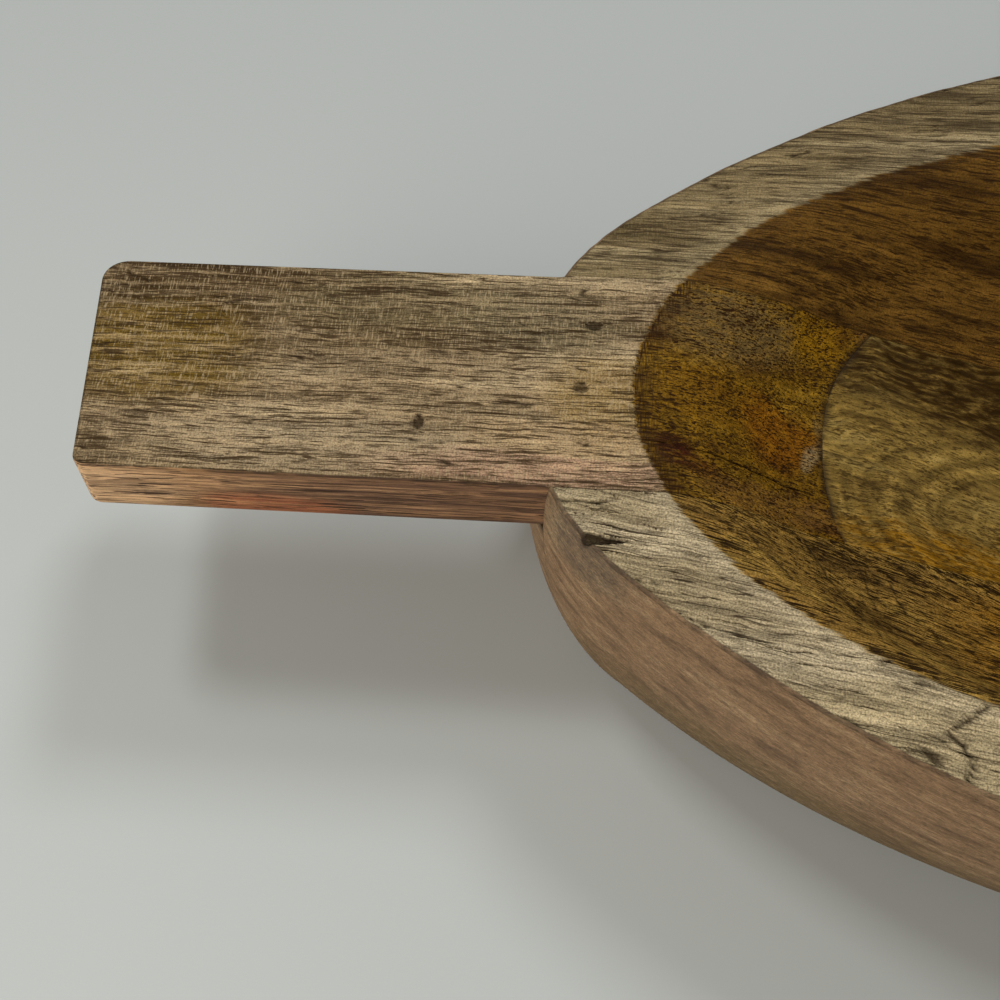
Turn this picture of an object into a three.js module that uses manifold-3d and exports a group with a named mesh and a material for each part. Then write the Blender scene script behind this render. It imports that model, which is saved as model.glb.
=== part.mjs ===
// Wooden serving bowl: a boat-shaped bowl glued up from blocks, with a flat board handle at each end.
// Millimetres, +Z up. The origin is at the centre of the base, and +X runs along the bowl.

import * as THREE from 'three';
import { mergeVertices } from 'three/addons/utils/BufferGeometryUtils.js';
import Module from 'manifold-3d';

// Bowl body
const BOWL_LENGTH = 350; // tip to tip, without the handles
const BOWL_WIDTH = 198.5;
const BOWL_HEIGHT = 58;
const TIP_RADIUS = 54.5; // rounding of the two ends, seen from above
const RIM_CHAMFER = 1.2;
const WALL_BULGE = 1; // how far the wall swells past the rim
const BULGE_DEPTH = 15; // how far below the rim the wall is widest
const TIP_INSET = 7.5; // from the widest line in to the flat base, at the ends
const FLANK_INSET = 28; // the same at the middle of the sides
const INSET_RISE = 10; // how late the inset grows from the ends to the middle of the sides
const UNDERCURVE_POWER = 2; // how late the wall turns under: 2 is a quarter of an oval

// Hollow
const HOLLOW_LENGTH = 307;
const HOLLOW_WIDTH = 153.7;
const HOLLOW_DEPTH = 42;
const FLOOR_LENGTH = 64; // the flat floor, level in the middle of the hollow
const FLOOR_BLEND = 0.3; // share of the slope that curves into the floor
const MOUTH_SHIFT = 1.6; // how far the hollow's mouth lies nearer the front than the rim's middle
const DEEP_SHIFT = 5.8; // the same for the deep part of the hollow
const HOLLOW_SQUARENESS = 0.5; // how much fuller than an oval the hollow is half way down
const LIP_SWELL = 1.8; // how far the slope rounds up just inside the mouth
const LIP_REACH = 0.19; // share of the hollow's size that the swell takes

// Handle boards
const HANDLE_WIDTH = 50;
const HANDLE_THICKNESS = 15;
const HANDLE_REACH = 85.5; // from the bowl's tip to the handle's end
const HANDLE_CORNER = 5.5;
const HANDLE_EASING = 1;

// Joints and facets
const GLUE_LINE = 0.3;
const CUT_MARGIN = 10; // how far cutting shapes stand past what they cut
const OUTLINE_STEPS = 112;
const UNDERCURVE_STEPS = 9;
const SLOPE_STEPS = 16;
const CORNER_STEPS = 6;

const wasm = await Module();
wasm.setup();

// A mesh made only of positions, with its shared corners merged, as a solid for cuts.
function toSolid(geometry) {
  const bare = geometry.clone();
  bare.deleteAttribute('normal');
  bare.deleteAttribute('uv');
  const merged = mergeVertices(bare, 1e-4);
  const mesh = new wasm.Mesh({
    numProp: 3,
    vertProperties: new Float32Array(merged.attributes.position.array),
    triVerts: new Uint32Array(merged.index.array),
  });
  return new wasm.Manifold(mesh);
}

function toGeometry(solid) {
  const mesh = solid.getMesh();
  const geometry = new THREE.BufferGeometry();
  geometry.setAttribute('position', new THREE.BufferAttribute(new Float32Array(mesh.vertProperties), 3));
  geometry.setIndex(new THREE.BufferAttribute(new Uint32Array(mesh.triVerts), 1));
  const faceted = geometry.toNonIndexed();
  faceted.computeVertexNormals();
  return faceted;
}

// A closed skin through rings of equal count, listed from the lowest up, with flat ends.
function loft(rings) {
  const count = rings[0].length;
  const top = (rings.length - 1) * count;
  const positions = rings.flat(2);
  const index = [];
  for (let low = 0; low < top; low += count) {
    const high = low + count;
    for (let step = 0; step < count; step += 1) {
      const next = (step + 1) % count;
      index.push(low + step, low + next, high + next);
      index.push(low + step, high + next, high + step);
    }
  }
  const lowMiddle = positions.length / 3;
  const topMiddle = lowMiddle + 1;
  positions.push(0, 0, rings[0][0][2]);
  positions.push(0, 0, rings[rings.length - 1][0][2]);
  for (let step = 0; step < count; step += 1) {
    const next = (step + 1) % count;
    index.push(lowMiddle, next, step);
    index.push(topMiddle, top + step, top + next);
  }
  const geometry = new THREE.BufferGeometry();
  geometry.setAttribute('position', new THREE.Float32BufferAttribute(positions, 3));
  geometry.setIndex(index);
  return geometry;
}

// Seen from above the rim is a boat: two long flank arcs, joined by a tip arc at each end.
const tipMiddle = BOWL_LENGTH / 2 - TIP_RADIUS;
const halfWidth = BOWL_WIDTH / 2;
const flankRadius = (tipMiddle ** 2 + halfWidth ** 2 - TIP_RADIUS ** 2) / (2 * (halfWidth - TIP_RADIUS));
const flankMiddle = flankRadius - halfWidth;
const tipFan = Math.atan2(flankMiddle, tipMiddle);

// One ring of the outer wall: the rim's outline, drawn in by an inset for the ends and one for the sides.
function wallRing(tipInset, flankInset, z) {
  const ring = [];
  for (let step = 0; step < OUTLINE_STEPS; step += 1) {
    const angle = (2 * Math.PI * (step + 0.5)) / OUTLINE_STEPS;
    const outX = Math.cos(angle);
    const outY = Math.sin(angle);
    const inset = tipInset + (flankInset - tipInset) * outY ** INSET_RISE;
    if (Math.atan2(Math.abs(outY), Math.abs(outX)) < tipFan) {
      const radius = TIP_RADIUS - inset;
      ring.push([Math.sign(outX) * tipMiddle + radius * outX, radius * outY, z]);
    } else {
      const radius = flankRadius - inset;
      ring.push([radius * outX, radius * outY - Math.sign(outY) * flankMiddle, z]);
    }
  }
  return ring;
}

// The wall goes from the flat base round the undercurve to the widest line, then in to the rim.
function outerWall() {
  const rings = [];
  const widest = BOWL_HEIGHT - BULGE_DEPTH;
  for (let step = 0; step <= UNDERCURVE_STEPS; step += 1) {
    const turn = ((step / UNDERCURVE_STEPS) * Math.PI) / 2;
    const inward = 1 - Math.sin(turn) ** (2 / UNDERCURVE_POWER);
    const down = Math.cos(turn) ** (2 / UNDERCURVE_POWER);
    const z = step < UNDERCURVE_STEPS ? widest * (1 - down) : widest;
    rings.push(wallRing(TIP_INSET * inward - WALL_BULGE, FLANK_INSET * inward - WALL_BULGE, z));
  }
  const halfBulge = WALL_BULGE * Math.sin(Math.PI / 4);
  rings.push(wallRing(-halfBulge, -halfBulge, BOWL_HEIGHT - BULGE_DEPTH / 2));
  rings.push(wallRing(0, 0, BOWL_HEIGHT - RIM_CHAMFER));
  rings.push(wallRing(RIM_CHAMFER, RIM_CHAMFER, BOWL_HEIGHT));
  return loft(rings);
}

// One ring of the hollow, at a height given as a share of the climb from its floor to its mouth. The mouth
// and the floor are ovals. Between them the ring is fuller, and it moves towards the front as it goes down.
function hollowRing(up, z) {
  const floorShare = FLOOR_LENGTH / HOLLOW_LENGTH;
  const share = floorShare + (1 - floorShare) * up;
  const power = 2 / (2 + HOLLOW_SQUARENESS * Math.sin(Math.PI * up));
  const sunk = THREE.MathUtils.smoothstep(1 - up, 0, 0.25);
  const shift = MOUTH_SHIFT + (DEEP_SHIFT - MOUTH_SHIFT) * sunk;
  const ring = [];
  for (let step = 0; step < OUTLINE_STEPS; step += 1) {
    const angle = (2 * Math.PI * (step + 0.5)) / OUTLINE_STEPS;
    const along = Math.sign(Math.cos(angle)) * Math.abs(Math.cos(angle)) ** power;
    const across = Math.sign(Math.sin(angle)) * Math.abs(Math.sin(angle)) ** power;
    ring.push([(HOLLOW_LENGTH / 2) * share * along, (HOLLOW_WIDTH / 2) * share * across - shift, z]);
  }
  return ring;
}

// The hollow rounds over its lip, slopes straight down and curves into a flat floor.
function hollow() {
  const drawnIn = 1 - FLOOR_LENGTH / HOLLOW_LENGTH;
  const floor = BOWL_HEIGHT - HOLLOW_DEPTH;
  const rings = [];
  for (let step = 0; step <= SLOPE_STEPS; step += 1) {
    const up = step / SLOPE_STEPS;
    const climb = up < FLOOR_BLEND ? up ** 2 / (2 * FLOOR_BLEND) : up - FLOOR_BLEND / 2;
    const lip = Math.min((drawnIn * (1 - up)) / LIP_REACH, 1);
    const z = floor + (HOLLOW_DEPTH * climb) / (1 - FLOOR_BLEND / 2) + LIP_SWELL * Math.sin(Math.PI * lip);
    rings.push(hollowRing(up, z));
  }
  rings.push(hollowRing(1, BOWL_HEIGHT + CUT_MARGIN));
  return loft(rings);
}

// A box between two corners.
function box(low, high) {
  const size = new THREE.Vector3().subVectors(high, low);
  const middle = new THREE.Vector3().addVectors(low, high).multiplyScalar(0.5);
  const geometry = new THREE.BoxGeometry(size.x, size.y, size.z);
  geometry.translate(middle.x, middle.y, middle.z);
  return geometry;
}

const halfBoard = HANDLE_WIDTH / 2;
const boardFloor = BOWL_HEIGHT - HANDLE_THICKNESS;

// A handle board before carving: eased edges on the handle, square edges where it lies in the bowl.
function handleBlank() {
  const end = -BOWL_LENGTH / 2 - HANDLE_REACH;
  const shoulder = -tipMiddle - Math.sqrt(TIP_RADIUS ** 2 - halfBoard ** 2);
  const shape = new THREE.Shape();
  shape.moveTo(shoulder + CUT_MARGIN, -halfBoard);
  shape.lineTo(shoulder + CUT_MARGIN, halfBoard);
  shape.lineTo(end + HANDLE_CORNER, halfBoard);
  shape.absarc(end + HANDLE_CORNER, halfBoard - HANDLE_CORNER, HANDLE_CORNER, Math.PI / 2, Math.PI);
  shape.absarc(end + HANDLE_CORNER, HANDLE_CORNER - halfBoard, HANDLE_CORNER, Math.PI, 1.5 * Math.PI);
  shape.closePath();
  const handle = new THREE.ExtrudeGeometry(shape, {
    depth: HANDLE_THICKNESS - 2 * HANDLE_EASING,
    curveSegments: CORNER_STEPS,
    bevelThickness: HANDLE_EASING,
    bevelSize: HANDLE_EASING,
    bevelOffset: -HANDLE_EASING,
    bevelSegments: 2,
  });
  handle.translate(0, 0, boardFloor + HANDLE_EASING);
  const tongue = box(
    new THREE.Vector3(shoulder, -halfBoard, boardFloor),
    new THREE.Vector3(-GLUE_LINE / 2, halfBoard, BOWL_HEIGHT),
  );
  return toGeometry(toSolid(handle).add(toSolid(tongue)));
}

const carving = toSolid(hollow());
const carvedBowl = toSolid(outerWall()).subtract(carving);

const farX = BOWL_LENGTH / 2 + WALL_BULGE + CUT_MARGIN;
const farY = BOWL_WIDTH / 2 + WALL_BULGE + CUT_MARGIN;

const sideZone = box(
  new THREE.Vector3(-farX, halfBoard + GLUE_LINE, -CUT_MARGIN),
  new THREE.Vector3(farX, farY, BOWL_HEIGHT + CUT_MARGIN),
);
const backBlock = carvedBowl.intersect(toSolid(sideZone));
const frontBlock = carvedBowl.intersect(toSolid(sideZone.clone().rotateZ(Math.PI)));

const centerZone = box(
  new THREE.Vector3(-farX, -halfBoard, -CUT_MARGIN),
  new THREE.Vector3(farX, halfBoard, boardFloor - GLUE_LINE),
);
const centerBlock = carvedBowl.intersect(toSolid(centerZone));

const leftBoard = toSolid(handleBlank()).subtract(carving);
const rightBoard = toSolid(handleBlank().rotateZ(Math.PI)).subtract(carving);

const bowl = new THREE.Group();

function addPiece(name, solid, color, roughness) {
  const material = new THREE.MeshStandardMaterial({ color, roughness, metalness: 0 });
  const piece = new THREE.Mesh(toGeometry(solid), material);
  piece.name = name;
  bowl.add(piece);
}

addPiece('center_block', centerBlock, 0x6f5630, 0.5);
addPiece('side_block_back', backBlock, 0x74603f, 0.6);
addPiece('side_block_front', frontBlock, 0x8a7150, 0.6);
addPiece('handle_board_left', leftBoard, 0x7f6a45, 0.75);
addPiece('handle_board_right', rightBoard, 0x7f6a45, 0.75);

export default bowl;
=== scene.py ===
# %% [markdown]
# # A serving bowl glued up from blocks of mango wood
# The bowl is a block of wood with a hollow carved into it. Five pieces are glued together first: a centre
# block, a flat board on top of it at each end that runs out as a handle, and a thick block along each side.
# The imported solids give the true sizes. This lesson makes each piece again with a finer skin, and then
# gives each face of the wood the finish that it has: brushed on top, oiled inside and sanded outside.

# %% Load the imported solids
import math

import bmesh
import bpy
from mathutils import Matrix, Vector, noise


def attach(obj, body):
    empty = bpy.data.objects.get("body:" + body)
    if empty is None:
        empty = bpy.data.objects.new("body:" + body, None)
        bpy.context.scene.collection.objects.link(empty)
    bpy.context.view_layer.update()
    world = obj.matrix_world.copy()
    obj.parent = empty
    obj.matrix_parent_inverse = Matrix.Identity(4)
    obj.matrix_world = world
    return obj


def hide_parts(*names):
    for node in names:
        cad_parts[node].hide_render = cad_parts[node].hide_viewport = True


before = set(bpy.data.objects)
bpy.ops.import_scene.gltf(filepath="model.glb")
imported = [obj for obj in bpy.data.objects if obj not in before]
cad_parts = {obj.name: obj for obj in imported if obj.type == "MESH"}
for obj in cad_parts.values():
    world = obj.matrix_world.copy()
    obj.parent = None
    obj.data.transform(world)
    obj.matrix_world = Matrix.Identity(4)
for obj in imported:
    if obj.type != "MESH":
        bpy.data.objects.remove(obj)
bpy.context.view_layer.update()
print("solids:", sorted(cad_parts))

# %% [markdown]
# ## Sizes
# The solids were built from a few driving sizes, in millimetres. The finer skin follows the same values, so
# it lies where the solids lie. Blender works in metres, so the finished pieces are scaled once at the end.

# %% Sizes in millimetres
MM = 0.001
BOWL_LENGTH = 350.0
BOWL_WIDTH = 198.5
BOWL_HEIGHT = 58.0
TIP_RADIUS = 54.5
RIM_EASING = 0.6  # the real edge is sharper than the chamfer of the solids
WALL_BULGE = 1.0  # how far the wall swells out below the rim
BULGE_DEPTH = 15.0  # how far below the rim it is widest
TIP_INSET = 7.5  # how far the base draws in at the ends
FLANK_INSET = 28.0  # the same at the middle of the sides
INSET_RISE = 10.0  # how late the inset grows from the ends to the sides
UNDERCURVE_POWER = 2.0  # 2 is a quarter of an oval
HOLLOW_LENGTH = 307.0
HOLLOW_WIDTH = 153.7
HOLLOW_DEPTH = 42.0
FLOOR_LENGTH = 64.0
FLOOR_BLEND = 0.3  # share of the slope that bends up from the flat floor
MOUTH_SHIFT = 1.6  # how far the mouth lies nearer the front than the rim's middle
DEEP_SHIFT = 5.8  # the same for the deep part of the hollow
SHIFT_REACH = 0.25  # share of the slope in which the one shift becomes the other
HOLLOW_SQUARENESS = 0.5  # how much fuller than an oval the hollow is half way down
LIP_SWELL = 1.8  # how far the slope rounds out near the mouth
LIP_REACH = 0.19  # share of the way to the middle that this takes
HANDLE_WIDTH = 50.0
HANDLE_THICKNESS = 15.0
HANDLE_REACH = 85.5
GLUE_LINE = 0.08  # the real film of glue is thinner than the gap between the solids

BOARD_FLOOR = BOWL_HEIGHT - HANDLE_THICKNESS
HANDLE_END = BOWL_LENGTH / 2 + HANDLE_REACH
print("over the handles:", 2 * HANDLE_END, "mm")

# %% [markdown]
# ## Camera
# The photograph was taken from close by, from the front and high up, with the handle at the left. A camera
# was fitted to the handle's edges and the rim, which gave its place, its tilt and a lens of 54 mm.

# %% Camera
CAMERA_SPOT = Vector((-157.9, -171.5, 288.2)) * MM
CAMERA_PITCH = 57.89
CAMERA_TURN = 7.78
CAMERA_ROLL = -3.82
CAMERA_LENS = 54.0
CAMERA_CLIP = 0.01
camera = bpy.data.objects.new("camera", bpy.data.cameras.new("camera"))
camera.data.lens = CAMERA_LENS
camera.data.clip_start = CAMERA_CLIP
turn = Matrix.Rotation(math.radians(CAMERA_TURN), 4, "Z")
tilt = Matrix.Rotation(math.radians(90 - CAMERA_PITCH), 4, "X")
roll = Matrix.Rotation(math.radians(CAMERA_ROLL), 4, "Z")
camera.matrix_world = Matrix.Translation(CAMERA_SPOT) @ turn @ tilt @ roll
bpy.context.scene.collection.objects.link(camera)
bpy.context.scene.camera = camera
print("camera at", [round(v, 4) for v in camera.location])

# %% [markdown]
# ## Light
# The handle has two soft shadows that overlap on the table, so two lamps hang above and behind the bowl, one
# a little to the left and one to the right. Their light is slightly cool. The room's own light fills the
# shadows and is warmer. Most of it comes from the front left, where one close, wide lamp stands in for it.

# %% Lights and world
scene = bpy.context.scene
scene.view_settings.view_transform = "Standard"
LAMP_AIM = Vector((-0.15, 0.0, 0.0))  # the half of the bowl that the photograph shows
DAYLIGHT = (0.96, 1.0, 1.03)
ROOM_LIGHT = (1.04, 1.0, 0.95)
ROOM_STRENGTH = 0.175


def add_softbox(name, direction, distance, size, watts, tint):
    lamp = bpy.data.lights.new(name, "AREA")
    lamp.color = tint
    lamp.shape = "SQUARE"
    lamp.size = size
    lamp.energy = watts
    box = bpy.data.objects.new(name, lamp)
    box.location = LAMP_AIM + Vector(direction).normalized() * distance
    box.rotation_euler = Vector(direction).to_track_quat("Z", "Y").to_euler()
    scene.collection.objects.link(box)
    return box


add_softbox("left_lamp", (-20, 18, 58), distance=2.2, size=0.42, watts=11.9, tint=DAYLIGHT)
add_softbox("right_lamp", (14, 38, 58), distance=2.2, size=0.50, watts=15.0, tint=DAYLIGHT)
add_softbox("front_fill", (-44, -46, 47), distance=0.66, size=0.45, watts=2.45, tint=ROOM_LIGHT)
scene.world = bpy.data.worlds.new("room")
scene.world.use_nodes = True
room = scene.world.node_tree.nodes["Background"]
room.inputs["Color"].default_value = (*ROOM_LIGHT, 1.0)
room.inputs["Strength"].default_value = ROOM_STRENGTH

# %% [markdown]
# ## Tools for the materials
# Colours are written as sRGB hex values, which one function turns to the linear numbers that Blender mixes.
# One more function adds a node, sets it, links it and returns one of its outputs, so that a material reads
# as a list of its layers.

# %% Colour and node helpers


def linear(hex_color):
    channels = [int(hex_color[i:i + 2], 16) / 255 for i in (1, 3, 5)]
    return tuple(c / 12.92 if c <= 0.04045 else ((c + 0.055) / 1.055) ** 2.4 for c in channels) + (1.0,)


def add(tree, kind, inputs=None, out=0, **settings):
    node = tree.nodes.new("ShaderNode" + kind)
    for key, value in settings.items():
        setattr(node, key, value)
    for key, value in (inputs or {}).items():
        if isinstance(value, bpy.types.NodeSocket):
            tree.links.new(value, node.inputs[key])
        else:
            node.inputs[key].default_value = value
    return node.outputs[out]


print("linear value of a middle grey:", round(linear("#808080")[0], 3))

# %% [markdown]
# ## Floor
# The bowl stands on a plain pale table top. It is a large flat sheet with a soft satin paint.

# %% Floor
FLOOR_SIDE = 6.0
floor_mesh = bpy.data.meshes.new("floor")
sheet = bmesh.new()
bmesh.ops.create_grid(sheet, x_segments=1, y_segments=1, size=FLOOR_SIDE / 2)
sheet.to_mesh(floor_mesh)
sheet.free()
floor = bpy.data.objects.new("floor", floor_mesh)
scene.collection.objects.link(floor)
# Satin paint rolled on a table top: an even pale grey with only a faint, wide sheen.
paint = bpy.data.materials.new("satin_table_paint")
paint.use_nodes = True
coat = paint.node_tree.nodes["Principled BSDF"]
coat.inputs["Base Color"].default_value = linear("#B6B9B5")
coat.inputs["Roughness"].default_value = 0.6
floor_mesh.materials.append(paint)
print("floor:", FLOOR_SIDE, "m square")

# %% [markdown]
# ## The carved bowl as one skin
# Seen from above the rim is a boat: two long arcs for the sides and a small arc round each end. The hollow's
# mouth is an oval. A skin over both could be cut from a block, but pulling one closed ring of edges through
# the whole profile gives clean strips of faces: up the wall, over the rim, and down into the hollow. Each
# point of the ring keeps the direction that the outline faces there, and the profile says where it goes.

# %% Outline of the wall and of the hollow
TIP_MIDDLE = BOWL_LENGTH / 2 - TIP_RADIUS
HALF_WIDTH = BOWL_WIDTH / 2
FLANK_RADIUS = (TIP_MIDDLE**2 + HALF_WIDTH**2 - TIP_RADIUS**2) / (2 * (HALF_WIDTH - TIP_RADIUS))
FLANK_MIDDLE = FLANK_RADIUS - HALF_WIDTH
TIP_FAN = math.atan2(FLANK_MIDDLE, TIP_MIDDLE)
FLOOR_SHARE = FLOOR_LENGTH / HOLLOW_LENGTH


def smooth(low, high, value):
    share = min(max((value - low) / (high - low), 0.0), 1.0)
    return share * share * (3 - 2 * share)


def wall_spot(facing, tip_inset, flank_inset, z):
    out_x, out_y = math.cos(facing), math.sin(facing)
    inset = tip_inset + (flank_inset - tip_inset) * abs(out_y) ** INSET_RISE
    if math.atan2(abs(out_y), abs(out_x)) < TIP_FAN:
        radius = TIP_RADIUS - inset
        return Vector((math.copysign(TIP_MIDDLE, out_x) + radius * out_x, radius * out_y, z))
    radius = FLANK_RADIUS - inset
    return Vector((radius * out_x, radius * out_y - math.copysign(FLANK_MIDDLE, out_y), z))


def hollow_spot(facing, up, z):
    """A point on the hollow: up is 1 at the mouth and 0 where the flat floor starts."""
    along, across = HOLLOW_LENGTH / 2, HOLLOW_WIDTH / 2
    angle = math.atan2(across * math.sin(facing), along * math.cos(facing))
    share = FLOOR_SHARE + (1 - FLOOR_SHARE) * up
    power = 2 / (2 + HOLLOW_SQUARENESS * max(math.sin(math.pi * up), 0.0))
    shift = MOUTH_SHIFT + (DEEP_SHIFT - MOUTH_SHIFT) * smooth(0.0, SHIFT_REACH, 1 - up)
    x = along * share * math.copysign(abs(math.cos(angle)) ** power, math.cos(angle))
    y = across * share * math.copysign(abs(math.sin(angle)) ** power, math.sin(angle))
    return Vector((x, y - shift, z))


def hollow_height(up):
    climb = up**2 / (2 * FLOOR_BLEND) if up < FLOOR_BLEND else up - FLOOR_BLEND / 2
    lip = min((1 - FLOOR_SHARE) * (1 - up) / LIP_REACH, 1.0)
    slope = HOLLOW_DEPTH * climb / (1 - FLOOR_BLEND / 2)
    return BOWL_HEIGHT - HOLLOW_DEPTH + slope + LIP_SWELL * math.sin(math.pi * lip)


print("flank radius:", round(FLANK_RADIUS, 1), "mm")

# %% [markdown]
# The profile lists the rings. Each one has a side of the bowl, a place for every point, how far across the
# rim it lies, and whether it is oiled. Work done by hand is never quite even, so a slow noise moves the
# edges of the rim by a few tenths of a millimetre and lets the hollow's slope roll a little.

# %% Rings of the profile
UNDERCURVE_RINGS = 18
BULGE_RINGS = 6
CHAMFER_RINGS = 3
RIM_RINGS = 60
SLOPE_RINGS = 56
FLOOR_RINGS = 5
MOUTH_EASING = 1.1
EDGE_SHADE_BAND = 0.3  # how far the painted shade along the outer edge reaches down
EDGE_WANDER = 0.35
SLOPE_ROLL = 0.35
RIM_WAVES = ((0.5, 11.0, 2.0), (0.4, 2.5, 5.0))  # share, length in mm and seed of each wave
MOUTH_WAVES = ((1.0, 9.0, 7.0), (0.5, 3.0, 9.0))
SLOPE_WAVES = ((1.0, 17.0, 4.0),)
OIL_CREEP = 0.35  # how far the oil has soaked out at the mouth
CREEP_START = 0.93
# how many rings of the slope carry painted shade under the lip
SHADED_LIP_RINGS = 3
LIP_OUT = 0.35  # where the rounded lip lies, as shares of its easing
LIP_DOWN = 0.22
LIP_OIL = 0.6
OUTSIDE, CARVED = 0, 1
OFF_RIM, MID_RIM, IN_HOLLOW = -1.0, 0.5, 2.0


def flat_noise(x, y, size, seed):
    return noise.noise(Vector((x / size[0], y / size[1], seed)))


def waves(spot, rows):
    return sum(share * flat_noise(spot.x, spot.y, (size, size), seed) for share, size, seed in rows)


def outer_edge(facing, inset, z):
    plain = wall_spot(facing, inset, inset, z)
    bite = inset + EDGE_WANDER * waves(plain, RIM_WAVES)
    return wall_spot(facing, bite, bite, z)


def mouth_edge(facing, outward, z):
    plain = hollow_spot(facing, 1.0, z)
    step = outward + EDGE_WANDER * waves(plain, MOUTH_WAVES)
    return plain + step * Vector((math.cos(facing), math.sin(facing), 0.0))


def rim_spot(facing, across):
    outer = outer_edge(facing, RIM_EASING, BOWL_HEIGHT)
    return outer.lerp(mouth_edge(facing, MOUTH_EASING, BOWL_HEIGHT), across)


def slope_spot(facing, up):
    plain = hollow_spot(facing, up, hollow_height(up))
    roll = SLOPE_ROLL * math.sin(math.pi * up) * waves(plain, SLOPE_WAVES)
    return plain + Vector((0.0, 0.0, roll))


def profile():
    """Rings from the base's edge to the hollow's middle: side, across, oil, painted shade under the lip and
    a point's place.
    """
    widest = BOWL_HEIGHT - BULGE_DEPTH
    for step in range(1, UNDERCURVE_RINGS + 1):
        quarter = step / UNDERCURVE_RINGS * math.pi / 2
        inward = 1 - math.sin(quarter) ** (2 / UNDERCURVE_POWER)
        z = widest * (1 - max(math.cos(quarter), 0.0) ** (2 / UNDERCURVE_POWER))
        tip, flank = TIP_INSET * inward - WALL_BULGE, FLANK_INSET * inward - WALL_BULGE
        yield OUTSIDE, OFF_RIM, 0.0, 0.0, lambda f, t=tip, k=flank, z=z: wall_spot(f, t, k, z)
    for step in range(1, BULGE_RINGS):
        swell = WALL_BULGE * math.cos(step / BULGE_RINGS * math.pi / 2)
        z = widest + (BULGE_DEPTH - RIM_EASING) * step / BULGE_RINGS
        yield OUTSIDE, OFF_RIM, 0.0, 0.0, lambda f, s=swell, z=z: wall_spot(f, -s, -s, z)
    # This ring is where the painted shade along the outer edge ends.
    below = BOWL_HEIGHT - RIM_EASING - EDGE_SHADE_BAND
    yield OUTSIDE, OFF_RIM, 0.0, 0.0, lambda f: outer_edge(f, 0.0, below)
    for step in range(CHAMFER_RINGS + 1):
        quarter = step / CHAMFER_RINGS * math.pi / 2
        inset = RIM_EASING * (1 - math.cos(quarter))
        z = BOWL_HEIGHT - RIM_EASING * (1 - math.sin(quarter))
        yield OUTSIDE, OFF_RIM, 0.0, 0.0, lambda f, i=inset, z=z: outer_edge(f, i, z)
    for step in range(1, RIM_RINGS + 1):
        across = step / RIM_RINGS
        creep = OIL_CREEP * max(across - CREEP_START, 0.0) / (1 - CREEP_START)
        yield CARVED, across, creep, 0.0, lambda f, a=across: rim_spot(f, a)
    # The lip's ring and the first rings of the slope get painted shade under the lip, fading downwards.
    lip = BOWL_HEIGHT - LIP_DOWN * MOUTH_EASING
    yield CARVED, IN_HOLLOW, LIP_OIL, 1.0, lambda f: mouth_edge(f, LIP_OUT * MOUTH_EASING, lip)
    for step in range(1, SLOPE_RINGS + 1):
        up = 1 - step / SLOPE_RINGS
        under_lip_shade = max(1 - step / SHADED_LIP_RINGS, 0.0)
        yield CARVED, IN_HOLLOW, 1.0, under_lip_shade, lambda f, u=up: slope_spot(f, u)
    middle = Vector((0.0, -DEEP_SHIFT, BOWL_HEIGHT - HOLLOW_DEPTH))
    for step in range(1, FLOOR_RINGS):
        share = 1 - step / FLOOR_RINGS
        yield CARVED, IN_HOLLOW, 1.0, 0.0, lambda f, s=share: middle.lerp(slope_spot(f, 0.0), s)


print("rings:", sum(1 for ring in profile()))

# %% Pull the ring through the profile
RING_POINTS = 1300
FLANK_CROWDING = 0.35  # puts more of the ring's points on the long flanks


def only(kind, items):
    return [item for item in items if isinstance(item, kind)]


def carved_bowl():
    bowl = bmesh.new()
    facing = bowl.verts.layers.float.new("facing")
    rim = bowl.verts.layers.float.new("rim")
    oil = bowl.verts.layers.float.new("oil")
    # how much painted shade under the lip a point gets
    lip = bowl.verts.layers.float.new("lip")
    # holds the dark marks and the painted shade along the edges
    bowl.verts.layers.float.new("marks_and_edge_shade")
    bowl.verts.layers.float.new("lane")
    ring = bmesh.ops.create_circle(bowl, segments=RING_POINTS, radius=1.0)["verts"]
    for point in ring:
        spread = math.atan2(point.co.y, point.co.x)
        point[facing] = spread + FLANK_CROWDING * math.sin(2 * spread)
        point[rim] = OFF_RIM
        point.co = wall_spot(point[facing], TIP_INSET - WALL_BULGE, FLANK_INSET - WALL_BULGE, 0.0)
    edges = bowl.edges[:]
    bmesh.ops.contextual_create(bowl, geom=edges)
    for side, across, oiled, under_lip_shade, place in profile():
        made = bmesh.ops.extrude_edge_only(bowl, edges=edges)["geom"]
        edges = only(bmesh.types.BMEdge, made)
        for point in only(bmesh.types.BMVert, made):
            point.co = place(point[facing])
            point[rim] = across
            point[oil] = oiled
            point[lip] = under_lip_shade
        for face in only(bmesh.types.BMFace, made):
            face.material_index = side
    last = bmesh.ops.contextual_create(bowl, geom=edges)["faces"]
    last[0].material_index = CARVED
    bmesh.ops.recalc_face_normals(bowl, faces=bowl.faces)
    return bowl


shell = carved_bowl()
print("carved skin:", len(shell.faces), "faces")

# %% [markdown]
# ## Blocks
# The real bowl was glued up first and carved afterwards, so each block is the carved bowl cut by its glue
# planes. Bisect does that: it keeps one side of a plane, and filling the cut closes the block again.

# %% Cut the blocks
SNAP = 1e-4  # a point this near to a plane counts as on it


def cut(block, spot, outward, close=True):
    everything = block.verts[:] + block.edges[:] + block.faces[:]
    made = bmesh.ops.bisect_plane(
        block, geom=everything, plane_co=spot, plane_no=outward, clear_outer=True, dist=SNAP
    )
    edges = only(bmesh.types.BMEdge, made["geom_cut"])
    if close:
        bmesh.ops.holes_fill(block, edges=edges, sides=0)
    return edges


SIDE_PLANE = (HANDLE_WIDTH + GLUE_LINE) / 2
BOARD_PLANE = (HANDLE_WIDTH - GLUE_LINE) / 2

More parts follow.
